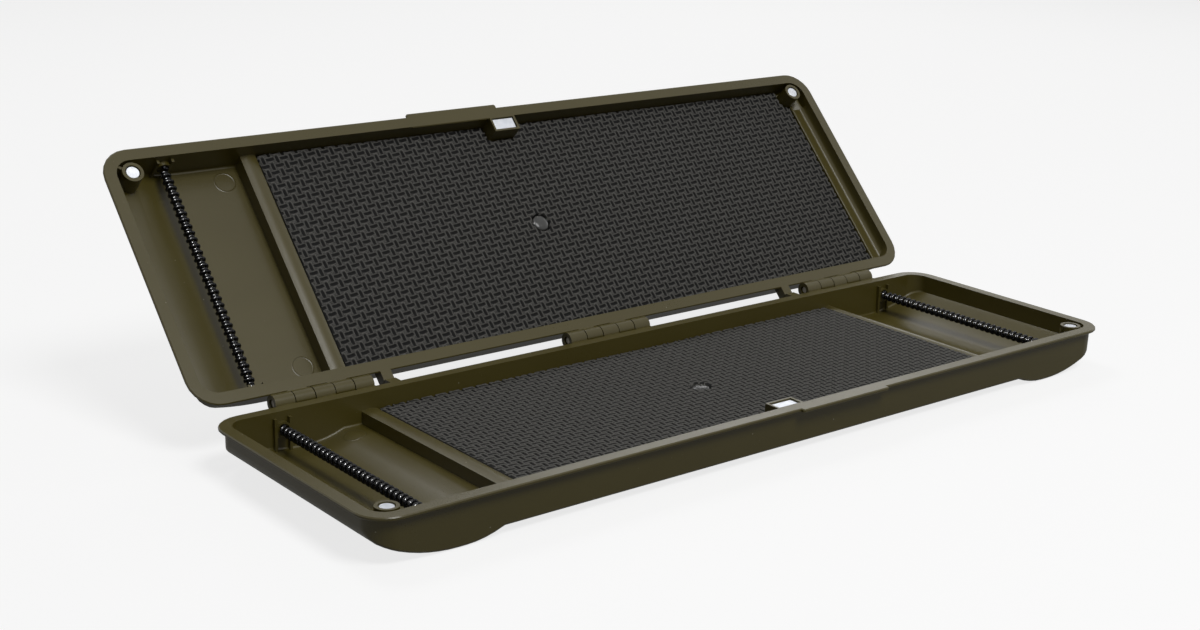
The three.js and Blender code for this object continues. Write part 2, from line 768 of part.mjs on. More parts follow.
const lidNotches = [blockNotch(lidHalf), bossNotch(lidHalf)];
const lidPieces = [
  ['lid_shell', toGeometry(mouldHalf(lidHalf)), plastic],
  ['lid_foam_mat', foamMat(lidHalf, matLeft, lidMatRight, lidNotches), foam],
  ['lid_foam_stud', foamStud(lidHalf), studPlastic],
  ['lid_spring', spring(-1), springSteel],
  ['lid_left_corner_magnet', discMagnet(-1), nickel],
  ['lid_right_corner_magnet', discMagnet(1), nickel],
  ['lid_catch_magnet', barMagnet(), nickel],
];
for (const [name, geometry, material] of lidPieces) {
  addPiece(lid, name, turnedOver(geometry), material);
}

// The origin is under the middle of the open case, on the surface that it stands on
const rigBox = new THREE.Group();
rigBox.add(base, lid);
const footprint = new THREE.Box3().setFromObject(rigBox, true);
rigBox.position.y = -(footprint.min.y + footprint.max.y) / 2;
console.log(`hinge axis at y ${(hingeY + rigBox.position.y).toFixed(3)}, z ${lid.position.z.toFixed(3)} mm`);
export default rigBox;
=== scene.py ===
"""Looks for the fishing rig box: finishes, foam, springs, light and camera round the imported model."""
import math

import bmesh
import bpy
import numpy as np
from mathutils import Matrix, Vector

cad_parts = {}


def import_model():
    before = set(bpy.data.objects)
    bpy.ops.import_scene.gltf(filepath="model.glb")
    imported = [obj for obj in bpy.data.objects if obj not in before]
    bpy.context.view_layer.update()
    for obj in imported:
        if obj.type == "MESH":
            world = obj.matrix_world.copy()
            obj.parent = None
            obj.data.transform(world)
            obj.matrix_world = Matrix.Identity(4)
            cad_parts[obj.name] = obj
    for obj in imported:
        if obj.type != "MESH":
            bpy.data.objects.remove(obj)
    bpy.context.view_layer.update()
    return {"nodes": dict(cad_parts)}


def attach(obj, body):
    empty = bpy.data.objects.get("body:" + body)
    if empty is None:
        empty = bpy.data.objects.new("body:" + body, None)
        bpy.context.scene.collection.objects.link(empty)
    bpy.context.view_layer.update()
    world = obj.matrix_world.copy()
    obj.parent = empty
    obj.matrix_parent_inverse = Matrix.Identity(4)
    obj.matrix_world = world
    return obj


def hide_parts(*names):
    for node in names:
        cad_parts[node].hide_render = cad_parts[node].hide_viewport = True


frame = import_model()
nodes = frame["nodes"]

MM = 0.001

# Both halves in their own axes: X along the case, Y from the finger tabs to the hinge, Z up from the rim
SHIFT_Y = -42.213
RIM_Z = 17.0
AXIS_Y = 13.637
AXIS_Z = 16.85
OPEN = math.radians(133.8)
HINGE_REACH = 55.85
LID_RISE = 0.45


def base_axes():
    """From the base's own axes, in mm, to the shared frame."""
    return Matrix.Translation((0, SHIFT_Y * MM, RIM_Z * MM)) @ Matrix.Scale(MM, 4)


def lid_axes():
    """The same for the lid, which is mirrored and turned open about the hinge line."""
    cos, sin = -math.cos(OPEN), math.sin(OPEN)
    origin = Vector((
        0,
        AXIS_Y + cos * HINGE_REACH + sin * LID_RISE,
        AXIS_Z + sin * HINGE_REACH - cos * LID_RISE,
    ))
    turn = Matrix(((1, 0, 0), (0, -cos, -sin), (0, -sin, cos))).to_4x4()
    return Matrix.Translation(origin * MM) @ turn @ Matrix.Scale(MM, 4)


BASE = base_axes()
LID = lid_axes()


# Materials

# Sockets of the Mix node in its colour mode
MIX_SHARE = 0
MIX_FIRST = 6
MIX_SECOND = 7
MIX_RESULT = 2


class Shader:
    """A small node tree with its Principled shader, in object coordinates."""

    def __init__(self, name, **values):
        self.material = bpy.data.materials.new(name)
        self.material.use_nodes = True
        self.tree = self.material.node_tree
        self.main = self.tree.nodes["Principled BSDF"]
        self.place = self.add("ShaderNodeTexCoord").outputs["Object"]
        for key, value in values.items():
            self.main.inputs[key.replace("_", " ")].default_value = value

    def add(self, kind, settings=None, **inputs):
        node = self.tree.nodes.new(kind)
        for key, value in (settings or {}).items():
            setattr(node, key, value)
        for key, value in inputs.items():
            self.join(value, node.inputs[key.replace("_", " ")])
        return node

    def join(self, value, socket):
        """Links the value to the socket, or sets it there if it is a plain one."""
        if isinstance(value, bpy.types.NodeSocket):
            self.tree.links.new(value, socket)
        else:
            socket.default_value = value

    def noise(self, scale, detail=2.0, roughness=0.5, distortion=0.0, place=None):
        return self.add(
            "ShaderNodeTexNoise", Vector=place or self.place, Scale=scale, Detail=detail,
            Roughness=roughness, Distortion=distortion,
        ).outputs["Fac"]

    def stretched(self, x, y, z):
        return self.add(
            "ShaderNodeMapping", Vector=self.place, Scale=(x, y, z),
        ).outputs["Vector"]

    def span(self, value, low, high, start=0.0, end=1.0):
        """The value as it runs from start to end, turned into low to high."""
        node = self.add(
            "ShaderNodeMapRange", Value=value, From_Min=start, From_Max=end, To_Min=low, To_Max=high,
        )
        return node.outputs["Result"]

    def blend(self, share, first, second):
        """A colour: first where share is 0, second where it is 1."""
        node = self.add("ShaderNodeMix", {"data_type": "RGBA"})
        self.join(share, node.inputs[MIX_SHARE])
        self.join(first, node.inputs[MIX_FIRST])
        self.join(second, node.inputs[MIX_SECOND])
        return node.outputs[MIX_RESULT]

    def sums(self, operation, first, second):
        node = self.add("ShaderNodeMath", {"operation": operation})
        self.join(first, node.inputs[0])
        self.join(second, node.inputs[1])
        return node.outputs[0]

    def bump(self, height, depth, normal=None):
        node = self.add("ShaderNodeBump", Height=height, Distance=depth, Strength=1.0)
        if normal is not None:
            self.tree.links.new(normal, node.inputs["Normal"])
        return node.outputs["Normal"]

    def finish(self, **inputs):
        for key, value in inputs.items():
            self.join(value, self.main.inputs[key.replace("_", " ")])
        return self.material


def shade(red, green, blue):
    return (red, green, blue, 1.0)


OLIVE_DEEP = shade(0.076, 0.06, 0.0085)
OLIVE_FLOW = shade(0.088, 0.071, 0.0125)
OLIVE_GRAIN = shade(0.1, 0.083, 0.022)
RING_DARK = shade(0.045, 0.036, 0.006)
SPECK_PALE = shade(0.3, 0.27, 0.18)
FINE_SPECK_PALE = shade(0.24, 0.21, 0.13)
FOAM_DARK = shade(0.034, 0.033, 0.03)
FOAM_DUST = shade(0.125, 0.122, 0.114)
FOAM_CLOUD = shade(0.072, 0.0695, 0.063)
# Painted highlight along the edges of the foam's grooves
FOAM_RIM_HIGHLIGHT = shade(0.19, 0.185, 0.17)
# Painted shade deep in the foam's grooves
FOAM_GROOVE_SHADE = shade(0.003, 0.003, 0.0027)
SPRING_DARK = shade(0.003, 0.003, 0.0035)
SPRING_LIGHT = shade(0.007, 0.007, 0.008)
NICKEL_DARK = shade(0.66, 0.69, 0.74)
NICKEL_LIGHT = shade(0.78, 0.8, 0.84)
STEEL_DARK = shade(0.3, 0.28, 0.24)
STEEL_LIGHT = shade(0.46, 0.43, 0.37)
STUD_DARK = shade(0.024, 0.024, 0.022)
STUD_LIGHT = shade(0.04, 0.04, 0.037)

# Witness marks of the ejector pins on the bay floors, where the photo shows faint rings, in metres
EJECTOR_MARKS = (
    (-0.1247, -0.0019, 0.0056), (0.1247, -0.0019, 0.0056), (-0.1243, 0.0897, 0.0774), (-0.124, 0.0346, 0.02),
)
EJECTOR_RADIUS = 0.004
EJECTOR_LINE = 0.00032
RING_SHARE = 0.45

# A speck fades from its core outwards
SPECK_CORE_SHARE = 0.5
SPECK_FADE = 0.05
FINE_SPECK_SHARE = 0.6

# A painted highlight runs round the edge of each groove of the foam
RIM_HIGHLIGHT_SHARE = 0.6


def ejector_rings(look):
    """Share of a thin ring round each mark: 1 on the line, 0 beside it."""
    rings = 0.0
    for mark in EJECTOR_MARKS:
        away = look.add("ShaderNodeVectorMath", {"operation": "DISTANCE"})
        look.join(look.place, away.inputs[0])
        away.inputs[1].default_value = mark
        off = look.sums("ABSOLUTE", look.sums("SUBTRACT", away.outputs["Value"], EJECTOR_RADIUS), 0.0)
        rings = look.sums("MAXIMUM", rings, look.span(off, low=1.0, high=0.0, end=EJECTOR_LINE))
    return rings


def specks(look, scale, size, share):
    """Small dots, one in each of the given share of the cells."""
    cells = look.add("ShaderNodeTexVoronoi", Vector=look.place, Scale=scale)
    dots = look.span(
        cells.outputs["Distance"], low=1.0, high=0.0, start=size * SPECK_CORE_SHARE, end=size,
    )
    pick = look.add("ShaderNodeSeparateColor", Color=cells.outputs["Color"]).outputs["Red"]
    picked = look.span(pick, low=0.0, high=1.0, start=1.0 - share, end=1.0 - share + SPECK_FADE)
    return look.sums("MULTIPLY", dots, picked)


def olive_plastic():
    look = Shader("olive_plastic", Specular_IOR_Level=0.5)
    grain = look.noise(scale=2600.0, detail=3.0, roughness=0.65)
    flow = look.noise(
        scale=26.0, detail=4.0, roughness=0.55, distortion=1.2, place=look.stretched(0.35, 1.0, 1.0),
    )
    cloud = look.noise(scale=9.0, detail=3.0)
    rings = ejector_rings(look)
    dots = specks(look, scale=200.0, size=0.062, share=0.3)
    fine_dots = specks(look, scale=420.0, size=0.075, share=0.25)
    colour = look.blend(look.span(flow, low=0.0, high=1.0, start=0.3, end=0.7), OLIVE_DEEP, OLIVE_FLOW)
    colour = look.blend(look.span(grain, low=0.0, high=0.3, start=0.45, end=0.8), colour, OLIVE_GRAIN)
    colour = look.blend(look.sums("MULTIPLY", rings, RING_SHARE), colour, RING_DARK)
    colour = look.blend(dots, colour, SPECK_PALE)
    colour = look.blend(look.sums("MULTIPLY", fine_dots, FINE_SPECK_SHARE), colour, FINE_SPECK_PALE)
    rough = look.sums(
        "ADD",
        look.span(cloud, low=0.27, high=0.35, start=0.3, end=0.7),
        look.span(grain, low=-0.02, high=0.05, start=0.3, end=0.7),
    )
    normal = look.bump(grain, depth=0.000018)
    normal = look.bump(flow, depth=0.00012, normal=normal)
    normal = look.bump(rings, depth=0.00008, normal=normal)
    return look.finish(Base_Color=colour, Roughness=rough, Normal=normal)


def eva_foam():
    look = Shader("eva_foam", Specular_IOR_Level=0.25)
    cells = look.add("ShaderNodeTexVoronoi", Vector=look.place, Scale=3200.0).outputs["Distance"]
    dust = look.noise(scale=1500.0, detail=3.0, roughness=0.7)
    cloud = look.noise(scale=22.0, detail=3.0)
    pit = look.add("ShaderNodeAttribute", {"attribute_name": "pit"}).outputs["Fac"]
    # Painted highlight: a pale band just inside the edge of each groove
    rim_highlight = look.sums(
        "MULTIPLY",
        look.span(pit, low=0.0, high=1.0, start=0.0, end=0.08),
        look.span(pit, low=1.0, high=0.0, start=0.16, end=0.34),
    )
    colour = look.blend(look.span(dust, low=0.0, high=1.0, start=0.36, end=0.68), FOAM_DARK, FOAM_DUST)
    colour = look.blend(look.span(cloud, low=0.0, high=0.3, start=0.35, end=0.7), colour, FOAM_CLOUD)
    colour = look.blend(look.sums("MULTIPLY", rim_highlight, RIM_HIGHLIGHT_SHARE), colour, FOAM_RIM_HIGHLIGHT)
    # Painted shade darkens the foam deep in each groove
    colour = look.blend(look.span(pit, low=0.0, high=1.0, start=0.2, end=0.6), colour, FOAM_GROOVE_SHADE)
    rough = look.span(cells, low=0.62, high=0.86, start=0.0, end=0.9)
    normal = look.bump(cells, depth=0.00005)
    normal = look.bump(dust, depth=0.00014, normal=normal)
    return look.finish(Base_Color=colour, Roughness=rough, Normal=normal)


def spring_black():
    look = Shader("spring_steel", Specular_IOR_Level=0.2)
    film = look.noise(scale=700.0, detail=2.0)
    fine = look.noise(scale=2600.0, detail=2.0)
    colour = look.blend(film, SPRING_DARK, SPRING_LIGHT)
    rough = look.span(film, low=0.16, high=0.22, start=0.3, end=0.7)
    return look.finish(Base_Color=colour, Roughness=rough, Normal=look.bump(fine, depth=0.000002))


def magnet_nickel():
    look = Shader("magnet_nickel", Metallic=0.85)
    scuff = look.noise(
        scale=900.0, detail=4.0, roughness=0.7, distortion=0.4, place=look.stretched(1.0, 0.25, 1.0),
    )
    stain = look.noise(scale=320.0, detail=3.0)
    colour = look.blend(look.span(stain, low=0.0, high=1.0, start=0.35, end=0.7), NICKEL_DARK, NICKEL_LIGHT)
    rough = look.span(scuff, low=0.3, high=0.52, start=0.3, end=0.7)
    return look.finish(Base_Color=colour, Roughness=rough, Normal=look.bump(scuff, depth=0.00002))


def pin_steel():
    look = Shader("pin_steel", Metallic=1.0)
    drawn = look.noise(scale=1800.0, detail=3.0, roughness=0.6, place=look.stretched(0.1, 1.0, 1.0))
    colour = look.blend(drawn, STEEL_DARK, STEEL_LIGHT)
    rough = look.span(drawn, low=0.28, high=0.45)
    return look.finish(Base_Color=colour, Roughness=rough, Normal=look.bump(drawn, depth=0.00001))


def stud_plastic():
    look = Shader("stud_plastic", Specular_IOR_Level=0.5)
    grain = look.noise(scale=2400.0, detail=3.0, roughness=0.6)
    colour = look.blend(grain, STUD_DARK, STUD_LIGHT)
    rough = look.span(grain, low=0.16, high=0.26)
    return look.finish(Base_Color=colour, Roughness=rough, Normal=look.bump(grain, depth=0.00001))


finishes = {
    "olive_plastic": olive_plastic(),
    "eva_foam": eva_foam(),
    "spring_steel": spring_black(),
    "magnet_nickel": magnet_nickel(),
    "pin_steel": pin_steel(),
    "stud_plastic": stud_plastic(),
}


# Carried-over nodes: welded, with rounded edges and even shading, as modifiers only

WELD_DISTANCE = 0.000004
SOFT_EDGE = math.radians(32)
FLAT_ANGLE = math.radians(0.4)
SHELL_EDGE_RADIUS = 0.00022
TRIM_EDGE_RADIUS = 0.0002
EDGE_SEGMENTS = 2
FACE_WEIGHT = 80


def geometry_group(name):
    """An empty group of geometry nodes, with its ends."""
    group = bpy.data.node_groups.new(name, "GeometryNodeTree")
    group.interface.new_socket("Geometry", in_out="INPUT", socket_type="NodeSocketGeometry")
    group.interface.new_socket("Geometry", in_out="OUTPUT", socket_type="NodeSocketGeometry")
    source = group.nodes.new("NodeGroupInput")
    target = group.nodes.new("NodeGroupOutput")
    return group, source.outputs[0], target.inputs[0]


def smooth_group(name, limit):
    """Geometry nodes that weld a mesh and shade it smooth except along edges sharper than limit."""
    group, source, target = geometry_group(name)
    add = group.nodes.new
    link = group.links.new
    weld = add("GeometryNodeMergeByDistance")
    weld.inputs["Distance"].default_value = WELD_DISTANCE
    forget = add("GeometryNodeRemoveAttribute")
    forget.inputs["Name"].default_value = "custom_normal"
    faces = add("GeometryNodeSetShadeSmooth")
    edges = add("GeometryNodeSetShadeSmooth")
    edges.domain = "EDGE"
    angle = add("GeometryNodeInputMeshEdgeAngle")
    soft = add("FunctionNodeCompare")
    soft.operation = "LESS_THAN"
    soft.inputs[1].default_value = limit
    link(source, weld.inputs["Geometry"])
    link(weld.outputs["Geometry"], forget.inputs["Geometry"])
    link(forget.outputs["Geometry"], faces.inputs["Geometry"])
    link(faces.outputs["Geometry"], edges.inputs["Geometry"])
    link(angle.outputs["Unsigned Angle"], soft.inputs[0])
    link(soft.outputs["Result"], edges.inputs["Shade Smooth"])
    link(edges.outputs["Geometry"], target)
    return group


def convex_group(name, limit):
    """Geometry nodes that give the outward edges sharper than limit their bevel weight."""
    group, source, target = geometry_group(name)
    add = group.nodes.new
    link = group.links.new
    angle = add("GeometryNodeInputMeshEdgeAngle")
    outward = add("FunctionNodeCompare")
    outward.operation = "GREATER_THAN"
    outward.inputs[1].default_value = limit
    store = add("GeometryNodeStoreNamedAttribute")
    store.data_type = "FLOAT"
    store.domain = "EDGE"
    store.inputs["Name"].default_value = "bevel_weight_edge"
    link(angle.outputs["Signed Angle"], outward.inputs[0])
    link(source, store.inputs["Geometry"])
    link(outward.outputs["Result"], store.inputs["Value"])
    link(store.outputs["Geometry"], target)
    return group


weld_and_smooth = smooth_group("weld_and_smooth", SOFT_EDGE)
convex_edges = convex_group("convex_edges", SOFT_EDGE)


def soften(piece, radius):
    """Welds a carried-over node, rounds its outward edges and evens its shading."""
    smooth = piece.modifiers.new("weld_and_smooth", "NODES")
    smooth.node_group = weld_and_smooth
    flat = piece.modifiers.new("flat_faces", "DECIMATE")
    flat.decimate_type = "DISSOLVE"
    flat.angle_limit = FLAT_ANGLE
    outward = piece.modifiers.new("convex_edges", "NODES")
    outward.node_group = convex_edges
    edge = piece.modifiers.new("edge_radius", "BEVEL")
    edge.width = radius
    edge.segments = EDGE_SEGMENTS
    edge.limit_method = "WEIGHT"
    edge.use_clamp_overlap = True
    edge.harden_normals = False
    even = piece.modifiers.new("even_shading", "WEIGHTED_NORMAL")
    even.keep_sharp = True
    even.weight = FACE_WEIGHT


for name, node in nodes.items():
    for slot in node.material_slots:
        slot.material = finishes[slot.material.name.split(".")[0]]
for name in ("base_shell", "lid_shell"):
    soften(nodes[name], SHELL_EDGE_RADIUS)
for name, node in nodes.items():
    if "magnet" in name or "pin" in name:
        soften(node, TRIM_EDGE_RADIUS)


# Pieces made here, with the angle in degrees from which an edge stays sharp

HARD_CREASE = 50
FOAM_CREASE = 62


def into_frame(mesh, axes):
    """Takes a mesh from the axes of its half to the shared frame, which may mirror it."""
    mesh.transform(axes)
    if axes.determinant() < 0:
        mesh.flip_normals()


def piece_from(name, points, faces, finish, axes=None):
    """A new smooth piece, taken to the shared frame where its axes are given."""
    mesh = bpy.data.meshes.new(name)
    mesh.from_pydata([tuple(p) for p in points], [], [tuple(f) for f in faces])
    if axes is not None:
        into_frame(mesh, axes)
    for face in mesh.polygons:
        face.use_smooth = True
    mesh.update()
    mesh.materials.append(finishes[finish])
    made = bpy.data.objects.new(name, mesh)
    bpy.context.scene.collection.objects.link(made)
    return made


def crease(piece, degrees):
    piece.data.set_sharp_from_angle(angle=math.radians(degrees))


def skin(rings, sides):
    """Faces over a row of rings of points, with a cap at each end."""
    faces = []
    for k in range(rings - 1):
        for side in range(sides):
            other = (side + 1) % sides
            faces.append((
                k * sides + side, k * sides + other, (k + 1) * sides + other, (k + 1) * sides + side,
            ))
    faces.append(tuple(range(sides))[::-1])
    faces.append(tuple((rings - 1) * sides + side for side in range(sides)))
    return faces


# Foam: woven emboss of short grooves that lie along X and along Y in turn

CELL_X = 3.0
CELL_Y = 2.95
CUTS = (-0.5, -0.3, -0.12, 0.12, 0.3)
GROOVE_DEPTH = 0.75
MAT_TOP = -6.3

# Depth share against the distance in cells: across a groove, along it, and up a standing one
GROOVE_SIDE = ((0.12, 0.3), (1.0, 0.0))
GROOVE_END = ((0.3, 0.5, 0.68), (1.0, 0.72, 0.0))
STANDING_SLOPE = ((-0.5, 0.3), (0.55, 1.15))

# One end of each lying groove hangs down a little
GROOVE_DROOP = 0.16
DROOP_PLACE = 0.5
DROOP_REACH = 0.55

WEAVE_TURN = math.radians(-1.2)
BASE_WEAVE_SHIFT = 0.0
LID_WEAVE_SHIFT = 0.4

# The sheet reaches past the mat on all sides and below, and the cutter above it
MAT_HALF_WIDTH = 52.25
SPARE_CELLS = 3
UNDER_DROP = 2.0
CUTTER_WELD = 0.004
TOP_SLACK = 0.05
CUT_RISE = 1.0
HOLE_RADIUS = 4.35


def groove(across, along):
    """Depth share of one groove: 1 on its floor, 0 on the foam between grooves."""
    side = np.interp(np.abs(across), *GROOVE_SIDE)
    reach = np.interp(np.abs(along), *GROOVE_END)
    return side * reach


def weave(count_x, count_y):
    """Grid of points of the embossed sheet, centred, in mm, its top at height 0."""
    xs = np.concatenate([np.array(CUTS) + i for i in range(-count_x, count_x)])
    ys = np.concatenate([np.array(CUTS) + j for j in range(-count_y, count_y)])
    gx, gy = np.meshgrid(xs, ys)
    cell_i, cell_j = np.round(gx), np.round(gy)
    depth = np.zeros_like(gx)
    droop = np.zeros_like(gx)
    for di in (-1, 0, 1):
        for dj in (-1, 0, 1):
            i, j = cell_i + di, cell_j + dj
            a, b = gx - i, gy - j
            flat_way = (i + j) % 2 == 0
            lying = groove(b, a)
            standing = groove(a, b) * np.interp(b, *STANDING_SLOPE)
            depth = np.maximum(depth, np.where(flat_way, lying, standing))
            near = np.clip(1 - np.hypot(a - DROOP_PLACE, b) / DROOP_REACH, 0, 1)
            droop = np.maximum(droop, np.where(flat_way, near, 0))
    gy = gy - GROOVE_DROOP * droop
    x, y = gx * CELL_X, gy * CELL_Y
    cos, sin = math.cos(WEAVE_TURN), math.sin(WEAVE_TURN)
    return np.stack([x * cos - y * sin, x * sin + y * cos, -GROOVE_DEPTH * depth], -1)


def store_pit(mesh, shares):
    """How deep each point lies in a groove, for the painted shade down there and the painted highlight at
    its edge.
    """
    layer = mesh.attributes.new("pit", "FLOAT", "POINT")
    layer.data.foreach_set("value", shares)


def own_points(node, axes):
    """A node's points in the axes of its half, in mm."""
    inverse = axes.inverted()
    return [inverse @ vertex.co for vertex in nodes[node].data.vertices]


def middle(points):
    xs, ys = [point.x for point in points], [point.y for point in points]
    return Vector(((min(xs) + max(xs)) / 2, (min(ys) + max(ys)) / 2))


def foam_cutter(node, centre, axes):
    """A mat's CAD solid in the axes of its half, raised over the emboss, its hole widened round centre."""
    cutter = nodes[node].data.copy()
    cutter.transform(axes.inverted())
    solid = bmesh.new()
    solid.from_mesh(cutter)
    bmesh.ops.remove_doubles(solid, verts=solid.verts, dist=CUTTER_WELD)
    for vertex in solid.verts:
        if vertex.co.z > MAT_TOP - TOP_SLACK:
            vertex.co.z = MAT_TOP + CUT_RISE
        out = vertex.co.xy - centre
        if out.length < HOLE_RADIUS:
            vertex.co.xy = centre + out.normalized() * HOLE_RADIUS
    bmesh.ops.recalc_face_normals(solid, faces=solid.faces)
    solid.to_mesh(cutter)
    solid.free()
    return cutter


def woven_sheet(name, left, right, bottom, shift):
    """The embossed sheet as a closed solid, larger than the mat on every side."""
    count_x = int((right - left) / 2 / CELL_X) + SPARE_CELLS
    count_y = int(MAT_HALF_WIDTH / CELL_Y) + SPARE_CELLS
    grid = weave(count_x, count_y)
    rows, columns = grid.shape[:2]
    grid[..., 0] += (left + right) / 2 + shift
    grid[..., 2] += MAT_TOP
    under = grid[::rows - 1, ::columns - 1].reshape(-1, 3).copy()
    under[:, 2] = bottom
    points = np.concatenate([grid.reshape(-1, 3), under])
    index = np.arange(rows * columns).reshape(rows, columns)
    quads = np.stack([index[:-1, :-1], index[:-1, 1:], index[1:, 1:], index[1:, :-1]], -1)
    faces = [tuple(quad) for quad in quads.reshape(-1, 4)]
    a, b, c, d = rows * columns + np.arange(4)
    faces.append((b, a, c, d))
    faces.append((a, b, *index[0, ::-1]))
    faces.append((d, c, *index[-1, :]))
    faces.append((c, a, *index[:, 0]))
    faces.append((b, d, *index[::-1, -1]))
    return piece_from(name, points, faces, "eva_foam")


def keep_inside(sheet, cutter):
    """Cuts the sheet's mesh down to the part inside the cutter."""
    tool = bpy.data.objects.new(sheet.name + "_outline", cutter)
    bpy.context.scene.collection.objects.link(tool)
    cut = sheet.modifiers.new("outline", "BOOLEAN")
    cut.operation = "INTERSECT"
    cut.solver = "MANIFOLD"
    cut.object = tool
    bpy.context.view_layer.update()
    evaluated = sheet.evaluated_get(bpy.context.evaluated_depsgraph_get())
    mesh = bpy.data.meshes.new_from_object(evaluated)
    sheet.modifiers.clear()
    sheet.data = mesh
    bpy.data.objects.remove(tool)


def foam_mat(name, node, stud_node, axes, shift):
    """The embossed mat: a woven sheet with thickness, cut to the outline of its CAD solid."""
    cutter = foam_cutter(node, middle(own_points(stud_node, axes)), axes)
    xs = [vertex.co.x for vertex in cutter.vertices]
    low = min(vertex.co.z for vertex in cutter.vertices)
    sheet = woven_sheet(name, min(xs), max(xs), low - UNDER_DROP, shift)
    keep_inside(sheet, cutter)
    mesh = sheet.data
    pits = [min(max((MAT_TOP - vertex.co.z) / GROOVE_DEPTH, 0.0), 1.0) for vertex in mesh.vertices]
    into_frame(mesh, axes)
    for face in mesh.polygons:
        face.use_smooth = True
    mesh.materials.clear()
    mesh.materials.append(finishes["eva_foam"])
    crease(sheet, FOAM_CREASE)
    store_pit(mesh, pits)
    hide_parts(node)
    return sheet


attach(foam_mat("base_foam", "base_foam_mat", "base_foam_stud", BASE, BASE_WEAVE_SHIFT), "base")
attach(foam_mat("lid_foam", "lid_foam_mat", "lid_foam_stud", LID, LID_WEAVE_SHIFT), "lid")


# Studs: a glossy dome in the hole of the mat, with a dark gap round it

STUD_DOME = (
    (3.74, -1.7), (3.74, -1.35), (3.68, -1.05), (3.52, -0.76), (3.24, -0.5), (2.86, -0.3), (2.36, -0.15),
    (1.7, -0.05), (0.9, 0.0), (0.3, 0.02),
)
STUD_SIDES = 48


def stud(name, node, body, axes):
    own = own_points(node, axes)
    centre = middle(own)
    low = min(point.z for point in own)
    rings = [(STUD_DOME[0][0], low), *((radius, MAT_TOP + rise) for radius, rise in STUD_DOME)]
    points = []
    for radius, height in rings:
        for side in range(STUD_SIDES):
            angle = 2 * math.pi * side / STUD_SIDES
            points.append((centre.x + radius * math.cos(angle), centre.y + radius * math.sin(angle), height))
    made = piece_from(name, points, skin(len(rings), STUD_SIDES), "stud_plastic", axes)
    crease(made, HARD_CREASE)
    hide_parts(node)
    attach(made, body)


stud("base_stud", "base_foam_stud", "base", BASE)
stud("lid_stud", "lid_foam_stud", "lid", LID)


# Springs: a close coil of round wire in the room of the solid; every second turn dips

COIL_OUTER_RADIUS = 2.05
COIL_SWELL = 0.15
WIRE_RADIUS = 0.66
COIL_CURLS = 66
TURN_DIP = 0.33
DIP_SHARPNESS = 2.5
TURN_LAG = 0.6
COIL_STEPS = 20
WIRE_SIDES = 12
SPRING_X = 149.3
SPRING_DEPTH = 6.5
SPRING_REACH = 46.75
HELD_LENGTH = 4.0
SWELL_LENGTH = 2.0


def coil_points(x):
    """The wire's path: wide and narrow turns in pairs, flat across the open side, thinner where held."""
    start = 2 * WIRE_RADIUS - SPRING_REACH
    turns = np.linspace(0, COIL_CURLS, COIL_CURLS * COIL_STEPS + 1)
    angle = turns * 2 * math.pi
    along = start * (1 - 2 * (turns - TURN_LAG / (2 * math.pi) * np.sin(angle)) / COIL_CURLS)
    from_end = SPRING_REACH - np.abs(along)
    free = np.interp(from_end, (HELD_LENGTH, HELD_LENGTH + SWELL_LENGTH), (0.0, 1.0))
    wide = COIL_OUTER_RADIUS - WIRE_RADIUS + COIL_SWELL * free
    swing = np.tanh(DIP_SHARPNESS * np.cos(turns * math.pi)) / np.tanh(DIP_SHARPNESS)
    radius = wide - TURN_DIP * (1 - swing)
    coil = np.stack([
        x + radius * np.sin(angle), along, -SPRING_DEPTH + radius * np.cos(angle),
    ], -1)
    first, last = coil[0].copy(), coil[-1].copy()
    first[1], last[1] = -SPRING_REACH, SPRING_REACH
    return np.concatenate([[first], coil, [last]])


def tube(path, radius, sides):
    """Points and faces of rings carried along a path without twist, with closed ends."""
    points = []
    across = np.array([1.0, 0.0, 0.0])
    for k, centre in enumerate(path):
        along = path[min(k + 1, len(path) - 1)] - path[max(k - 1, 0)]
        along = along / np.linalg.norm(along)
        across = across - along * (across @ along)
        across = across / np.linalg.norm(across)
        up = np.cross(along, across)
        for side in range(sides):
            angle = 2 * math.pi * side / sides
            points.append(centre + radius * (math.cos(angle) * across + math.sin(angle) * up))
    return points, skin(len(path), sides)


def spring(name, node, body, axes, side):
    points, faces = tube(coil_points(side * SPRING_X), WIRE_RADIUS, WIRE_SIDES)
    made = piece_from(name, points, faces, "spring_steel", axes)
    crease(made, HARD_CREASE)
    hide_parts(node)
    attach(made, body)


spring("base_left_coil", "base_left_spring", "base", BASE, -1)
spring("base_right_coil", "base_right_spring", "base", BASE, 1)
spring("lid_coil", "lid_spring", "lid", LID, -1)


# Floor, light and camera

CAMERA_PLACE = (-0.434669, -0.515351, 0.230853)
CAMERA_RIGHT = (0.7800101, -0.6251884, 0.0269026)
CAMERA_DOWN = (-0.1609217, -0.2419469, -0.9568521)
CAMERA_FORWARD = (0.6047218, 0.742025, -0.2893274)
CAMERA_LENS = 54.635
CAMERA_SENSOR = 36.0
CAMERA_NEAR = 0.01

# The floor is a plain grey to the case, and a white backdrop with a faint shadow to the camera
FLOOR_REACH = 6.0
FLOOR_DROP = 0.0002
FLOOR_GREY = 0.25
FLOOR_SEEN_GREY = 0.3
FLOOR_GLOW = 0.78
FLOOR_MIRRORED_SHARE = 0.25
ROOM_LIGHT = 0.05
ROOM_COLOUR = shade(1.0, 0.99, 0.97)

# Name, azimuth and elevation in degrees, width in metres, watts
LAMPS = (
    ("front", 270, 55, 0.6, 9.0),
    ("back", 90, 55, 0.6, 2.9),
    ("right", 0, 25, 0.5, 0.9),
    ("right_back", 45, 25, 0.5, 1.3),
    ("top", 0, 90, 0.6, 0.4),
)
SPRING_LAMP = ("spring_glint", 205, 54, 0.3, 110.0)
STUD_LAMP = ("stud_glint", 197, 54, 0.12, 14.0)
SPRING_PIECES = ("base_left_coil", "base_right_coil", "lid_coil")
STUD_PIECES = ("base_stud", "lid_stud")
LAMP_DISTANCE = 1.5


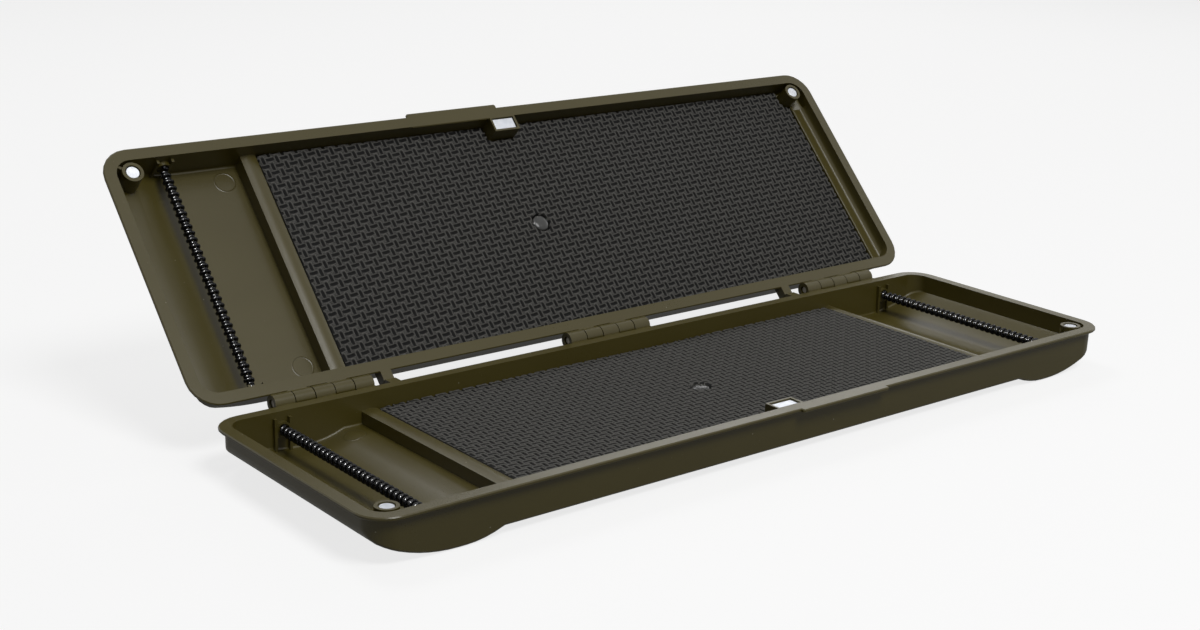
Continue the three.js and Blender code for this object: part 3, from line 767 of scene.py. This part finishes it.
def backdrop_share(tree, mirrored_share):
    """1 where the camera sees the surface, through glass too, and mirrored_share where gloss does."""
    path = tree.nodes.new("ShaderNodeLightPath")
    mirrored = tree.nodes.new("ShaderNodeMath")
    mirrored.operation = "MULTIPLY"
    mirrored.inputs[1].default_value = mirrored_share
    through = tree.nodes.new("ShaderNodeMath")
    through.operation = "MAXIMUM"
    sight = tree.nodes.new("ShaderNodeMath")
    sight.operation = "MAXIMUM"
    tree.links.new(path.outputs["Is Glossy Ray"], mirrored.inputs[0])
    tree.links.new(path.outputs["Is Camera Ray"], through.inputs[0])
    tree.links.new(path.outputs["Is Transmission Ray"], through.inputs[1])
    tree.links.new(through.outputs[0], sight.inputs[0])
    tree.links.new(mirrored.outputs[0], sight.inputs[1])
    return sight.outputs[0]


def floor():
    corners = [(x * FLOOR_REACH, y * FLOOR_REACH, 0) for x, y in ((-1, -1), (1, -1), (1, 1), (-1, 1))]
    mesh = bpy.data.meshes.new("floor")
    mesh.from_pydata(corners, [], [(0, 1, 2, 3)])
    made = bpy.data.objects.new("floor", mesh)
    bpy.context.scene.collection.objects.link(made)
    made.location.z = -FLOOR_DROP
    material = bpy.data.materials.new("floor")
    material.use_nodes = True
    tree = material.node_tree
    tree.nodes.clear()
    add, link = tree.nodes.new, tree.links.new
    out = add("ShaderNodeOutputMaterial")
    paper = add("ShaderNodeBsdfDiffuse")
    paper.inputs["Color"].default_value = shade(FLOOR_GREY, FLOOR_GREY, FLOOR_GREY)
    seen = add("ShaderNodeBsdfDiffuse")
    seen.inputs["Color"].default_value = shade(FLOOR_SEEN_GREY, FLOOR_SEEN_GREY, FLOOR_SEEN_GREY)
    glow = add("ShaderNodeEmission")
    glow.inputs["Strength"].default_value = FLOOR_GLOW
    both = add("ShaderNodeAddShader")
    pick = add("ShaderNodeMixShader")
    link(seen.outputs[0], both.inputs[0])
    link(glow.outputs[0], both.inputs[1])
    link(backdrop_share(tree, FLOOR_MIRRORED_SHARE), pick.inputs[0])
    link(paper.outputs[0], pick.inputs[1])
    link(both.outputs[0], pick.inputs[2])
    link(pick.outputs[0], out.inputs["Surface"])
    mesh.materials.append(material)


def world():
    made = bpy.data.worlds.new("studio")
    bpy.context.scene.world = made
    made.use_nodes = True
    tree = made.node_tree
    tree.nodes.clear()
    add, link = tree.nodes.new, tree.links.new
    out = add("ShaderNodeOutputWorld")
    room = add("ShaderNodeBackground")
    room.inputs["Color"].default_value = ROOM_COLOUR
    room.inputs["Strength"].default_value = ROOM_LIGHT
    white = add("ShaderNodeBackground")
    white.inputs["Strength"].default_value = 1.0
    pick = add("ShaderNodeMixShader")
    link(backdrop_share(tree, 1.0), pick.inputs[0])
    link(room.outputs[0], pick.inputs[1])
    link(white.outputs[0], pick.inputs[2])
    link(pick.outputs[0], out.inputs["Surface"])


def softbox(name, azimuth, elevation, width, watts):
    """A round soft lamp that looks at the case; azimuth turns from the right end to the back."""
    data = bpy.data.lights.new(name, "AREA")
    data.shape = "DISK"
    data.size = width
    data.energy = watts
    lamp = bpy.data.objects.new(name, data)
    bpy.context.scene.collection.objects.link(lamp)
    turn, rise = math.radians(azimuth), math.radians(elevation)
    aim = Vector((math.cos(rise) * math.cos(turn), math.cos(rise) * math.sin(turn), math.sin(rise)))
    lamp.location = aim * LAMP_DISTANCE
    lamp.rotation_euler = (-aim).to_track_quat("-Z", "Y").to_euler()
    return lamp


def glints(lamp, names):
    """Lets a lamp reach only the named pieces, for the highlights that they show in the photo."""
    lamp.visible_diffuse = False
    small = bpy.data.collections.new(lamp.name + "_pieces")
    for name in names:
        small.objects.link(bpy.data.objects[name])
    lamp.light_linking.receiver_collection = small


def camera():
    data = bpy.data.cameras.new("camera")
    data.sensor_width = CAMERA_SENSOR
    data.lens = CAMERA_LENS
    data.clip_start = CAMERA_NEAR
    made = bpy.data.objects.new("camera", data)
    bpy.context.scene.collection.objects.link(made)
    right = Vector(CAMERA_RIGHT)
    down = Vector(CAMERA_DOWN)
    forward = Vector(CAMERA_FORWARD)
    turn = Matrix((right, -down, -forward)).transposed().to_4x4()
    made.matrix_world = Matrix.Translation(Vector(CAMERA_PLACE)) @ turn
    bpy.context.scene.camera = made


floor()
world()
for lamp in LAMPS:
    softbox(*lamp)
glints(softbox(*SPRING_LAMP), SPRING_PIECES)
glints(softbox(*STUD_LAMP), STUD_PIECES)
camera()

scene_view = bpy.context.scene.view_settings
scene_view.view_transform = "Standard"
